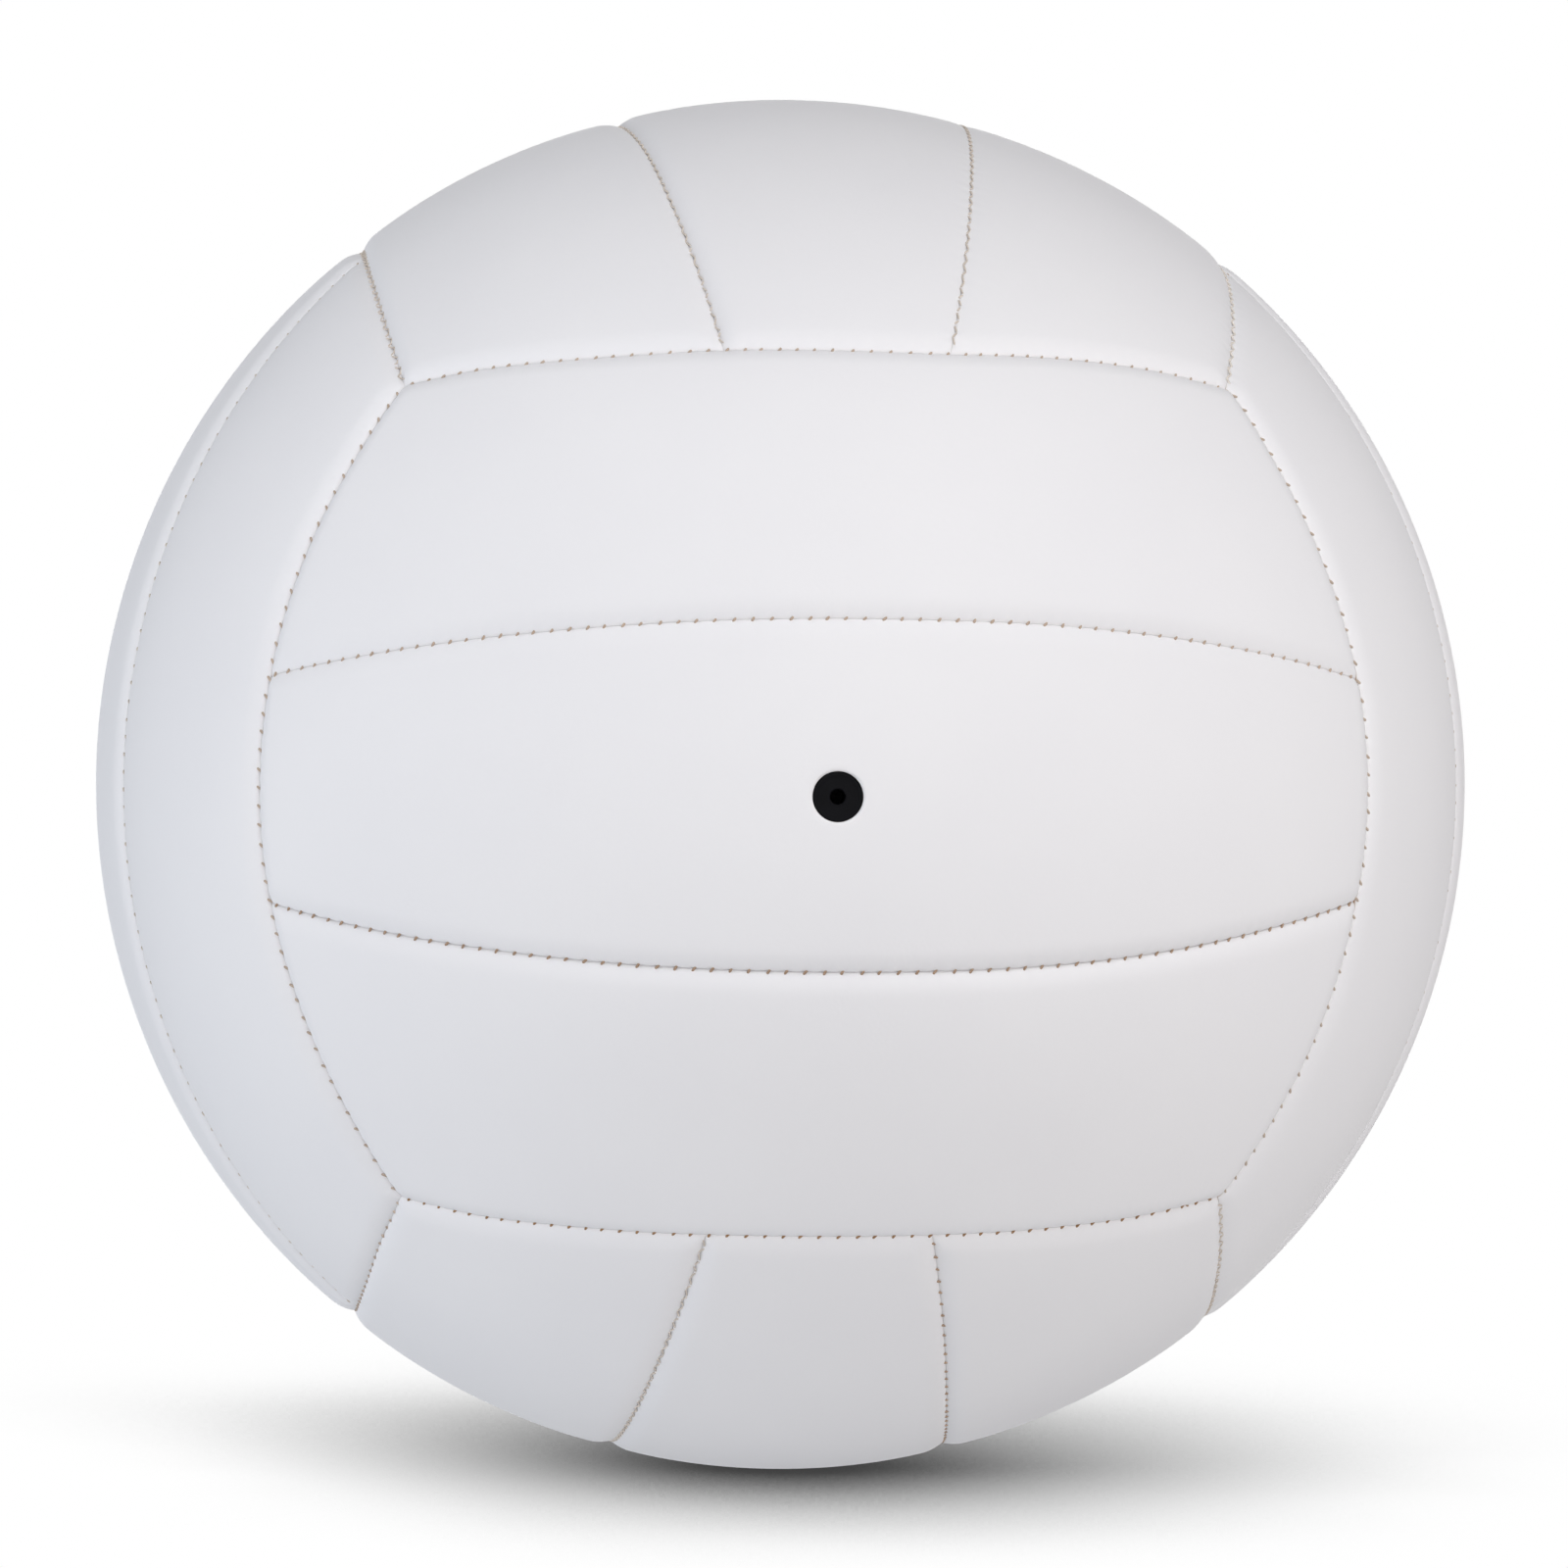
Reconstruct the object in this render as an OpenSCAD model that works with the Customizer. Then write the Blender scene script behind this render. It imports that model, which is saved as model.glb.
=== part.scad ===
// Volleyball with a stitched cover of eighteen panels over foam, cloth and an air bladder
// The ball is centred on the origin, +Z is up, and its valve is in the middle of the front, at -Y
// Each of the six faces has three strips, and the strips of neighbouring faces run at right angles

/* [Ball] */
// Diameter over the panels of the inflated ball
ball_d = 210; // [190:1:220]
// Angle at the centre from the middle of a face to the middle of the seam at its end
end_seam_angle = 51.5; // [50:0.1:53]
// Angle at the centre from the middle of a face to the seam beside its middle strip
strip_seam_angle = 14.1; // [12:0.1:16]

/* [Panels] */
// Thickness of the synthetic leather cover
cover_t = 1; // [0.7:0.1:1.4]
// Thickness of the foam pad inside a cover
foam_t = 2.5; // [1.5:0.1:3.5]
// Thickness of the cloth that backs the foam
backing_t = 0.5; // [0.3:0.1:0.8]
// Radius at which a panel's edge rolls over into a seam between two strips of one face
strip_roll_r = 4; // [3.6:0.1:4.1]
// Radius at which a panel's edge rolls over into a seam between two faces, where the shoulder is fuller
edge_roll_r = 4.2; // [4.2:0.1:5]
// Slope of the rolled edge where it meets the next panel
roll_slope = 48; // [42:1:54]
// How far the roll stands over the round of the ball before it dips, which gives the edge its shoulder
roll_rise = 0.04; // [0.02:0.01:0.06]

/* [Seams] */
// Gap between the turned-in edges of two panels
seam_gap = 0.2; // [0.1:0.05:0.3]
// Thickness of the run of thread in a seam
thread_d = 0.6; // [0.4:0.1:0.8]
// Length by which a run of thread stops short of the seam that it meets
thread_end_gap = 2.4; // [1.5:0.1:4]

/* [Bladder] */
// Thickness of the rubber wall
bladder_t = 0.6; // [0.4:0.1:1.2]

/* [Valve] */
// Diameter of the valve head that shows in the panel
valve_head_d = 7.1; // [6:0.1:8]
// Depth of the valve head under the surface of the ball
valve_recess = 0.4; // [0.2:0.1:0.8]
// Width of the raised rim round the valve head
valve_rim_w = 0.6; // [0.4:0.1:1]
// Depth of the face of the head inside its rim
valve_dish = 0.15; // [0.1:0.05:0.3]
// Diameter of the hole that takes the needle of a pump
needle_hole_d = 2.2; // [1.8:0.1:2.6]
// Diameter of the neck that stands through the bladder, the cloth and the foam
valve_neck_d = 9.4; // [9:0.1:12]
// Diameter of the flange that is bonded to the inside of the bladder
valve_flange_d = 28; // [22:1:36]
// Thickness of that flange
valve_flange_t = 1.2; // [0.8:0.1:2]
// Diameter of the stem that holds the plug
valve_stem_d = 12; // [11.5:0.5:16]
// Length of that stem, inward from the flange
valve_stem_l = 10; // [8:0.5:14]

/* [Valve plug] */
// Diameter of the soft plug that the needle passes through
plug_d = 6; // [5:0.1:6.5]
// Diameter of the collar that keeps the plug in its stem
plug_collar_d = 8; // [7.5:0.1:9]
// Length of that collar
plug_collar_l = 2; // [1.5:0.1:3]
// Depth of the funnel that leads the needle to the slit in the plug
plug_funnel_depth = 2; // [1:0.1:3]
// Diameter at the bottom of that funnel
plug_funnel_tip_d = 0.4; // [0.3:0.1:0.8]

/* [Fits] */
// Gap between two layers that lie on each other
layer_gap = 0.05; // [0.03:0.01:0.1]
// Gap round the valve in the holes of the panel and the bladder
valve_gap = 0.1; // [0.05:0.05:0.3]

/* [Hidden] */
$fn = 96;

// Overrun of every cut
over = 1;

// The layers, from the outside in, as distances from the centre of the ball
ball_r = ball_d / 2;
cover_inner_r = ball_r - cover_t;
foam_outer_r = cover_inner_r - layer_gap;
foam_inner_r = foam_outer_r - foam_t;
backing_outer_r = foam_inner_r - layer_gap;
backing_inner_r = backing_outer_r - backing_t;
bladder_outer_r = backing_inner_r - layer_gap;
bladder_inner_r = bladder_outer_r - bladder_t;
flange_outer_r = bladder_inner_r - layer_gap;
flange_inner_r = flange_outer_r - valve_flange_t;
stem_end_r = flange_inner_r - valve_stem_l;

// Every seam is a circle on a cone whose point is the centre of the ball
// A seam at the end of a face also passes through the corners of a cube, and that gives the cone's tilt
corner_share = 1 / sqrt(3);
seam_tilt = atan((cos(end_seam_angle) - corner_share) / (sin(end_seam_angle) - corner_share));
end_cone_angle = end_seam_angle + seam_tilt;
strip_cone_angle = 90;

// Centre of the arc of a rolled edge, seen in the seam's own frame: x runs outward along the seam, y into the panel
function roll_width(roll_r) = roll_r * sin(roll_slope);
function roll_turn(roll_r) = asin(roll_width(roll_r) / (ball_r - roll_r + roll_rise));
function roll_centre(roll_r) = (ball_r - roll_r + roll_rise) * [cos(roll_turn(roll_r)), sin(roll_turn(roll_r))];

// The thread lies in the seam's groove, a layer gap off the rolled edge that comes nearest
thread_r = thread_d / 2;
function thread_seat_r(roll_r) =
    roll_centre(roll_r)[0] + sqrt(pow(roll_r + thread_r + layer_gap, 2) - pow(roll_width(roll_r), 2));
thread_path_r = max(thread_seat_r(strip_roll_r), thread_seat_r(edge_roll_r));

// Half the length of each kind of seam, as an angle round the axis of its cone
end_seam_half = atan2(1, cos(seam_tilt) + sin(seam_tilt));
strip_seam_across = cos(seam_tilt) * cos(strip_seam_angle);
strip_seam_span = norm([strip_seam_across, sin(seam_tilt)]);
strip_seam_half = acos(cos(end_cone_angle) / strip_seam_span) - atan2(sin(seam_tilt), strip_seam_across);

// A face's flank is its neighbour's end, so its middle lies at what the end seam leaves of a right angle
flank_angle = 90 - end_seam_angle;

// A panel is cut from a block that is larger than its strip by these angles, and the cuts reach past that block
block_extra = 10;
block_end_angle = 57;
cut_extra = 10;
cut_reach_angle = 30;

// Each face: its name, the turn that brings +Z to its middle and +X along its strips,
// and the names of its strips on the side of -Y and on the side of +Y before that turn
FACES = [
    ["front", [90, 0, 0], ["lower", "middle", "upper"]],
    ["back", [90, 0, 180], ["lower", "middle", "upper"]],
    ["top", [0, 0, 90], ["right", "middle", "left"]],
    ["bottom", [180, 0, -90], ["right", "middle", "left"]],
    ["left", [0, -90, 0], ["front", "middle", "back"]],
    ["right", [0, 90, 0], ["front", "middle", "back"]],
];
STRIPS = [-1, 0, 1];

function piece_name(layer, face, strip) = str(layer, "_", face[0], "_", face[2][strip + 1]);
function has_valve(face, strip) = face[0] == "front" && strip == 0;

// A seam: the turn that brings +Z to the axis of its cone, the cone's half angle, the side of the cone that the panel
// lies on, 1 inside it and -1 outside, the seam's middle and half length as angles round that axis, and its panels' roll
function end_seam(end) =
    [[0, -end * seam_tilt, 0], end_cone_angle, 1, end > 0 ? 0 : 180, end_seam_half, edge_roll_r];
function flank_seam(side) =
    [[-side * (90 + seam_tilt), 0, 0], end_cone_angle, -1, -90 * side, end_seam_half, edge_roll_r];
function strip_seam(side, inside) =
    [[-side * (90 + strip_seam_angle), 0, 0], strip_cone_angle, inside, -90 * side, strip_seam_half, strip_roll_r];
function panel_seams(strip) = strip == 0
    ? [end_seam(1), end_seam(-1), strip_seam(1, -1), strip_seam(-1, -1)]
    : [end_seam(1), end_seam(-1), strip_seam(strip, 1), flank_seam(strip)];

// Block of the ball's shell that is larger than a strip all round, turned about the line along the strip
module strip_block(strip, outer_r, inner_r) {
    middle = strip * (strip_seam_angle + flank_angle) / 2;
    half = strip == 0 ? strip_seam_angle : (flank_angle - strip_seam_angle) / 2;
    rotate([0, -90, 0])
        rotate(middle - half - block_extra)
            rotate_extrude(angle = 2 * (half + block_extra))
                difference() {
                    intersection() {
                        circle(r = outer_r);
                        polygon(ball_d * [
                            [0, 0],
                            [cos(block_end_angle), sin(block_end_angle)],
                            [1, 0],
                            [cos(block_end_angle), -sin(block_end_angle)],
                        ]);
                    }
                    circle(r = inner_r);
                }
}

// What is cut off along one seam of a panel: all beyond the panel's wall, and what lies above its rolled edge
// In the profile x runs outward along the seam and y into the panel
module edge_cut(seam, depth) {
    half_cut = seam[4] + cut_extra;
    roll_r = seam[5];
    centre = roll_centre(roll_r);
    cut_outer = ball_r + over;
    cut_inner = ball_r * cos(cut_reach_angle);
    cut_across = ball_r * sin(cut_reach_angle);
    rotate(seam[0])
        rotate(seam[3] - half_cut)
            rotate_extrude(angle = 2 * half_cut)
                rotate(90 - seam[1])
                    mirror([0, seam[2] > 0 ? 0 : 1])
                        union() {
                            translate([cut_inner, -cut_across])
                                square([cut_outer - cut_inner, cut_across + seam_gap / 2 + depth]);
                            difference() {
                                polygon([
                                    centre,
                                    [centre[0], 0],
                                    [cut_outer, 0],
                                    cut_outer * [cos(roll_turn(roll_r)), sin(roll_turn(roll_r))],
                                ]);
                                translate(centre)
                                    circle(r = roll_r - depth);
                            }
                        }
}

// The space inside a panel between two distances from the ball's centre, with its edges at a depth under its surface
// It is the plain block with one seam after another cut to its edge
module panel_space(strip, depth, outer_r, inner_r, seams_left = 4) {
    if (seams_left == 0)
        strip_block(strip, outer_r, inner_r);
    else
        difference() {
            panel_space(strip, depth, outer_r, inner_r, seams_left - 1);
            edge_cut(panel_seams(strip)[seams_left - 1], depth);
        }
}

// Hole for the valve, through every layer of the middle panel at the front
module valve_hole(d) {
    cylinder(d = d + 2 * valve_gap, h = ball_d);
}

// Cover: a tray of synthetic leather whose four edges roll over and turn in to be stitched
module cover_panel(strip, holed) {
    color("whitesmoke")
        difference() {
            panel_space(strip, 0, ball_r, backing_inner_r);
            panel_space(strip, cover_t, cover_inner_r, backing_inner_r - over);
            if (holed) valve_hole(valve_head_d);
        }
}

// Foam pad that fills the tray of its cover
module foam_pad(strip, holed) {
    color("tan")
        difference() {
            panel_space(strip, cover_t + layer_gap, foam_outer_r, foam_inner_r);
            if (holed) valve_hole(valve_neck_d);
        }
}

// Cloth behind the foam, cut to the same outline
module backing_cloth(strip, holed) {
    color("burlywood")
        difference() {
            panel_space(strip, cover_t + layer_gap, backing_outer_r, backing_inner_r);
            if (holed) valve_hole(valve_neck_d);
        }
}

// One run of thread along a seam, short of the seams that it meets
module thread_run(cone_angle, middle, half_span) {
    half_run = half_span - asin(thread_end_gap / thread_path_r);
    rotate(middle - half_run)
        rotate_extrude(angle = 2 * half_run)
            translate(thread_path_r * [sin(cone_angle), cos(cone_angle)])
                circle(r = thread_r);
}

// The thread of the two seams inside each face
module strip_seam_thread() {
    color("peru")
        for (face = FACES, side = [-1, 1])
            rotate(face[1])
                rotate(strip_seam(side, 1)[0])
                    thread_run(strip_cone_angle, -90 * side, strip_seam_half);
}

// The thread of the seams between faces: each face carries the seams at its own two ends
module edge_seam_thread() {
    color("peru")
        for (face = FACES, end = [-1, 1])
            rotate(face[1])
                rotate(end_seam(end)[0])
                    thread_run(end_cone_angle, end > 0 ? 0 : 180, end_seam_half);
}

// Rubber bladder, open only where the neck of the valve stands through it
module bladder() {
    color("dimgray")
        rotate(FACES[0][1])
            difference() {
                sphere(r = bladder_outer_r);
                sphere(r = bladder_inner_r);
                valve_hole(valve_neck_d);
            }
}

// Right half of the valve's flange, with the round of the bladder on both faces
module flange_profile() {
    intersection() {
        difference() {
            circle(r = flange_outer_r);
            circle(r = flange_inner_r);
        }
        square([valve_flange_d / 2, ball_r]);
    }
}

// Right half of the space that the plug fills in the stem, larger by a gap on every side
module plug_profile(gap) {
    middle_r = (flange_inner_r + stem_end_r) / 2;
    union() {
        translate([0, stem_end_r])
            square([plug_d / 2 + gap, flange_inner_r - stem_end_r]);
        translate([0, middle_r - plug_collar_l / 2 - gap])
            square([plug_collar_d / 2 + gap, plug_collar_l + 2 * gap]);
    }
}

// Valve housing: a head that shows in the panel, a neck, a flange and a stem that holds the plug
module valve_housing() {
    head_top = ball_r - valve_recess;
    neck_top = foam_outer_r - layer_gap;
    color("dimgray")
        rotate(FACES[0][1])
            difference() {
                rotate_extrude()
                    union() {
                        translate([0, stem_end_r])
                            square([valve_stem_d / 2, valve_flange_t + valve_stem_l - flange_sag()]);
                        flange_profile();
                        translate([0, flange_inner_r])
                            square([valve_neck_d / 2, neck_top - flange_inner_r]);
                        translate([0, flange_inner_r])
                            square([valve_head_d / 2, head_top - flange_inner_r]);
                    }
                rotate_extrude()
                    plug_profile(layer_gap);
                translate([0, 0, stem_end_r - over])
                    cylinder(d = plug_d + 2 * layer_gap, h = 2 * over);
                translate([0, 0, head_top - valve_dish])
                    cylinder(d = valve_head_d - 2 * valve_rim_w, h = valve_dish + over);
                translate([0, 0, flange_inner_r - over])
                    cylinder(d = needle_hole_d, h = ball_r - flange_inner_r + over);
            }
}

// How far the flange's outer face falls at the radius of the stem
function flange_sag() = flange_outer_r - sqrt(pow(flange_outer_r, 2) - pow(valve_stem_d / 2, 2));

// Soft plug with a collar, and a funnel down to the slit that closes behind the needle
module valve_plug() {
    color("black")
        rotate(FACES[0][1])
            difference() {
                rotate_extrude()
                    plug_profile(0);
                translate([0, 0, flange_inner_r - plug_funnel_depth])
                    cylinder(d1 = plug_funnel_tip_d, d2 = needle_hole_d, h = plug_funnel_depth);
            }
}

for (face = FACES, strip = STRIPS) {
    holed = has_valve(face, strip);
    rotate(face[1]) cover_panel(strip, holed);
    rotate(face[1]) foam_pad(strip, holed);
    rotate(face[1]) backing_cloth(strip, holed);
}
strip_seam_thread();
edge_seam_thread();
bladder();
valve_housing();
valve_plug();
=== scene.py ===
import math

import bmesh
import bpy
import numpy as np
from mathutils import Matrix


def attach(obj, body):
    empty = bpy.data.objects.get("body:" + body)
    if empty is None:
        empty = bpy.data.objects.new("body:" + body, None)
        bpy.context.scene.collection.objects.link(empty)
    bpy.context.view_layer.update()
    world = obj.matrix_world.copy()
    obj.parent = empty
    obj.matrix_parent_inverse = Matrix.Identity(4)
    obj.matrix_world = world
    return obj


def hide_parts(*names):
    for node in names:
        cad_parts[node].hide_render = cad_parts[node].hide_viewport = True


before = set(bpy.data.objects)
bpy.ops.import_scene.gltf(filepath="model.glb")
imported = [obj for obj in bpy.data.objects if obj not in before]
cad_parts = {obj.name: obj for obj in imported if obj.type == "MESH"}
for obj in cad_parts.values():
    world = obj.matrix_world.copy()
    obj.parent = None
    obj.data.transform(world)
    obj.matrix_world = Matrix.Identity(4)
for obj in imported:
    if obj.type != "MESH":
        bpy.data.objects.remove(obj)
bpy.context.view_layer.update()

# Lengths are in millimetres and become metres when a mesh is made, except where a comment says metres.
MM = 0.001
BALL_R = 105.0
COVER_T = 1.0
LAYER_GAP = 0.05
FOAM_T = 2.5
BACKING_T = 0.5
FOAM_OUTER_R = BALL_R - COVER_T - LAYER_GAP
FOAM_INNER_R = FOAM_OUTER_R - FOAM_T
BACKING_OUTER_R = FOAM_INNER_R - LAYER_GAP
BACKING_INNER_R = BACKING_OUTER_R - BACKING_T

# The seams, as the part's source has them.
END_SEAM = math.radians(51.5)
STRIP_SEAM = math.radians(14.1)
CORNER_SHARE = 1 / math.sqrt(3)
SEAM_TILT = math.atan((math.cos(END_SEAM) - CORNER_SHARE) / (math.sin(END_SEAM) - CORNER_SHARE))
END_CONE = END_SEAM + SEAM_TILT
STRIP_CONE = math.pi / 2

# The padding falls to a seam on a shoulder of this width, which ends at this slope for seams between faces
# and between strips.
SHOULDER = 3.4
EDGE_SLOPE = 0.56
STRIP_SLOPE = 0.46

# Each face: its name, the turns about X, Y and Z that bring +Z to its middle and +X along its strips,
# and the names of its strips from the side of -Y to the side of +Y before the turn.
FACES = [
    ("front", (90, 0, 0), ("lower", "middle", "upper")),
    ("back", (90, 0, 180), ("lower", "middle", "upper")),
    ("top", (0, 0, 90), ("right", "middle", "left")),
    ("bottom", (180, 0, -90), ("right", "middle", "left")),
    ("left", (0, -90, 0), ("front", "middle", "back")),
    ("right", (0, 90, 0), ("front", "middle", "back")),
]
STRIPS = (-1, 0, 1)

# The step from stitch to stitch, how far each may lie off its place, and how far the last ones stay from the
# seam's ends.
STITCH_PITCH = 2.7
STITCH_JITTER = 0.16
SEAM_END = 1.6

# How far the seams of this ball, sewn by hand, lie off the regular ones, in millimetres towards the seam's
# axis, at these shares of half their length from their middle. Each value spreads over a share along the seam
# and fades over a distance across it. At the last share, past the seam's end at 1, the offset is gone, and
# the blend is the share over which it goes.
WANDER_AT = np.array([-0.9, -0.5, 0.0, 0.5, 0.9])
WANDER_SPREAD = 0.30
WANDER_FADE = 14.0
WANDER_END = 1.18
WANDER_BLEND = 0.2
LEAST_WEIGHT = 1e-12
WANDER = {
    ("front", "end", -1): (0.8, 0.8, -0.4, -0.2, 0.8),
    ("front", "end", 1): (0.2, 0, -0.6, 0.4, 0.2),
    ("front", "strip", -1): (0.8, 0.2, -0.2, 0.2, -0.8),
    ("front", "strip", 1): (0, -0.2, 0, 0.8, 1.2),
    ("top", "end", -1): (1.2, 0.6, -0.6, -0.8, 0),
    ("top", "strip", -1): (1.8, 1.0, 0.8, 0.2, 0),
    ("top", "strip", 1): (-1.2, -0.2, 1.2, 0.2, 0),
    ("bottom", "end", 1): (0.4, 0, -0.6, 0.2, 1.4),
    ("bottom", "strip", -1): (0, 0, -0.2, -0.8, 0.4),
    ("bottom", "strip", 1): (0, 0, 0.4, 0.6, 0.2),
    ("left", "end", -1): (1.2, 1.0, 0.2, 0, 0),
    ("left", "end", 1): (1.4, 1.4, 0.6, 0, 0),
    ("right", "end", -1): (1.6, 1.6, 0.4, 0, 0),
    ("right", "end", 1): (1.4, 0, -0.2, 0, 0),
    ("right", "strip", -1): (0.2, 0.8, 1.4, 1.0, 0),
}
EVEN = ((1, 1, 1), (1, 1, 1))
# Seams that lie deeper or shallower than the rest: the shares of the shoulder's, the swell's and the lip's
# depth, for the panel on the side of the seam's axis and for the one on the other side.
UNEVEN = {
    ("top", "strip", -1): ((0.2, 0.2, 1), (0.2, 0.2, 1)),
    ("top", "strip", 1): ((1.15, 1.15, 1), (1.15, 1.15, 1)),
    ("front", "end", 1): ((0.7, 0.7, 1), (0.6, 0.8, 1)),
    ("left", "end", 1): ((1.1, 1.1, 1), (1.1, 1.1, 1)),
    ("right", "end", -1): ((0.75, 0.75, 1), (0.75, 0.75, 1)),
    ("right", "end", 1): ((0.65, 0.65, 1), (0.65, 0.65, 1)),
    ("left", "strip", -1): ((0.0, 3.5, 2), (1.0, 0.8, 3)),
    ("right", "strip", -1): ((0.0, 3.2, 4), (0.85, 0.6, 4)),
    ("front", "end", -1): ((1.2, 1, 1), (1, 1, 2.5)),
    ("front", "strip", -1): ((1, 1, 2.5), (1, 1, 2.5)),
}
# Seams whose stitches differ: their size as a share of the usual, and how pale the thread is, from 0 to 1.
# On some, the thread runs in a zigzag on top of the leather, with twice as many stitches.
USUAL_STITCH = (1.0, 0.35)
STITCH_LOOK = {
    ("front", "end", -1): (1.7, 0.35),
    ("front", "end", 1): (1.45, 0.4),
    ("front", "strip", 1): (1.15, 0.3),
    ("front", "strip", -1): (1.2, 0.15),
    ("bottom", "end", 1): (1.3, 0),
    ("top", "strip", -1): (0.7, 0.65),
    ("top", "strip", 1): (0.7, 0.7),
    ("bottom", "strip", -1): (0.95, 0.2),
    ("bottom", "strip", 1): (0.8, 0.7),
    ("left", "end", 1): (1.3, 0.65),
    ("left", "end", -1): (0.9, 0.4),
    ("right", "end", -1): (1.0, 0.85),
    ("right", "end", 1): (1.1, 0.65),
    ("left", "strip", -1): (0.95, 0.6),
}
ZIGZAG = [
    ("top", "strip", -1), ("top", "strip", 1), ("bottom", "strip", 1), ("left", "end", 1),
    ("right", "end", -1), ("right", "end", 1),
]
# Places along a seam, in millimetres from its middle, where the thread was sewn over once more.
SEWN_TWICE = {("bottom", "end", 1): (-59.8, -64.2)}


def turn(degrees):
    """Matrix that turns about X, then Y, then Z."""
    x, y, z = np.radians(degrees)
    about_x = np.array([[1, 0, 0], [0, np.cos(x), -np.sin(x)], [0, np.sin(x), np.cos(x)]])
    about_y = np.array([[np.cos(y), 0, np.sin(y)], [0, 1, 0], [-np.sin(y), 0, np.cos(y)]])
    about_z = np.array([[np.cos(z), -np.sin(z), 0], [np.sin(z), np.cos(z), 0], [0, 0, 1]])
    return about_z @ about_y @ about_x


# Seams


def seam(face_turn, axis, toward, across, cone, half_length, seed):
    """A seam is a circle of directions at the cone angle from its axis. toward points from the axis to the
    middle of the seam and across is square to both. Its stitches lie at equal steps along the arc, each off
    by a random jitter, counted in millimetres from the middle."""
    rng = np.random.default_rng(seed)
    reach = half_length - SEAM_END
    stitches = np.linspace(-reach, reach, 1 + round(2 * reach / STITCH_PITCH))
    stitches = stitches + rng.uniform(-STITCH_JITTER, STITCH_JITTER, len(stitches))
    return {
        "axis": face_turn @ np.array(axis),
        "toward": face_turn @ np.array(toward),
        "across": face_turn @ np.array(across),
        "cone": cone,
        "half": half_length,
        "stitches": stitches,
        "seed": seed,
        "shares": EVEN,
    }


def seam_place(s, p):
    """Distance of directions p from a seam, positive on the side of its axis, and the arc along it from its
    middle, both in millimetres on the ball: radius times angle."""
    inside = BALL_R * (s["cone"] - np.arccos(np.clip(p @ s["axis"], -1, 1)))
    along = BALL_R * math.sin(s["cone"]) * np.arctan2(p @ s["across"], p @ s["toward"])
    return inside, along


def end_tau(theta):
    """Angle along a strip at which it meets the seam at its end, for the angle theta across the face: where
    the direction's cosine with the tilted axis of the end cone equals the cosine of the cone's angle."""
    a, b = math.cos(SEAM_TILT) * np.cos(theta), math.sin(SEAM_TILT)
    return np.arccos(math.cos(END_CONE) / np.hypot(a, b)) - np.arctan2(b, a)


def flank_theta(tau):
    """Angle across a face at which it meets the seam along its flank, for the angle tau along the strip."""
    return SEAM_TILT + np.arcsin(math.cos(END_CONE) / np.cos(tau))


def make_seams():
    """The 12 seams at the ends of the faces and the 12 seams between the strips of a face. The axis of an end
    seam is the face's own, tilted away from that end. Half of it runs from its middle to a corner of the
    cube. A strip seam is a great circle, so its axis is a right angle away."""
    tilt_cos, tilt_sin = math.cos(SEAM_TILT), math.sin(SEAM_TILT)
    strip_cos, strip_sin = math.cos(STRIP_SEAM), math.sin(STRIP_SEAM)
    half_end = BALL_R * math.sin(END_CONE) * math.atan2(1, tilt_cos + tilt_sin)
    half_strip = BALL_R * float(end_tau(STRIP_SEAM))
    seams = {}
    for number, (face, degrees, _) in enumerate(FACES):
        face_turn = turn(degrees)
        for side in (-1, 1):
            seed = 10 * number + side + 1
            axis, toward = (-side * tilt_sin, 0, tilt_cos), (side * tilt_cos, 0, tilt_sin)
            seams[face, "end", side] = seam(face_turn, axis, toward, (0, 1, 0), END_CONE, half_end, seed)
            axis, toward = (0, side * strip_cos, -strip_sin), (0, side * strip_sin, strip_cos)
            seams[face, "strip", side] = seam(
                face_turn, axis, toward, (1, 0, 0), STRIP_CONE, half_strip, seed + 100
            )
    for key, shares in UNEVEN.items():
        seams[key]["shares"] = shares
    return seams


SEAMS = make_seams()


def wander(p):
    """Directions p moved to where the seams of this ball lie. Each seam's offset is the mean of its five
    values, weighted by Gauss curves of the share along it. It fades out past the seam's ends in a smooth
    step, and falls off with the distance from the seam in a Gauss curve. The offsets of all seams add up."""
    moved = p.copy()
    for key, offsets in WANDER.items():
        s = SEAMS[key]
        inside, along = seam_place(s, p)
        share = along / s["half"]
        weights = np.exp(-(((share[..., None] - WANDER_AT) / WANDER_SPREAD) ** 2))
        offset = (weights @ np.array(offsets)) / np.maximum(weights.sum(-1), LEAST_WEIGHT)
        end = np.clip((WANDER_END - np.abs(share)) / WANDER_BLEND, 0, 1)
        offset = offset * end**2 * (3 - 2 * end) * np.exp(-((inside / WANDER_FADE) ** 2))
        toward = s["axis"] - p * (p @ s["axis"])[..., None]
        toward = toward / np.linalg.norm(toward, axis=-1, keepdims=True)
        moved = moved + toward * (offset / BALL_R)[..., None]
    return moved / np.linalg.norm(moved, axis=-1, keepdims=True)


def panel_seams(face, degrees, strip):
    """The seams of a panel, each with the side that the panel lies on and the slope of its shoulder. A
    flank is the end seam of the neighbouring face whose cone has the same axis."""
    found = [(SEAMS[face, "end", end], 1, EDGE_SLOPE) for end in (-1, 1)]
    if strip == 0:
        return found + [(SEAMS[face, "strip", side], -1, STRIP_SLOPE) for side in (-1, 1)]
    found.append((SEAMS[face, "strip", strip], 1, STRIP_SLOPE))
    axis = turn(degrees) @ np.array((0, strip * math.cos(SEAM_TILT), -math.sin(SEAM_TILT)))
    flank = max((s for key, s in SEAMS.items() if key[1] == "end"), key=lambda s: s["axis"] @ axis)
    return found + [(flank, -1, EDGE_SLOPE)]


# Panels

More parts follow.
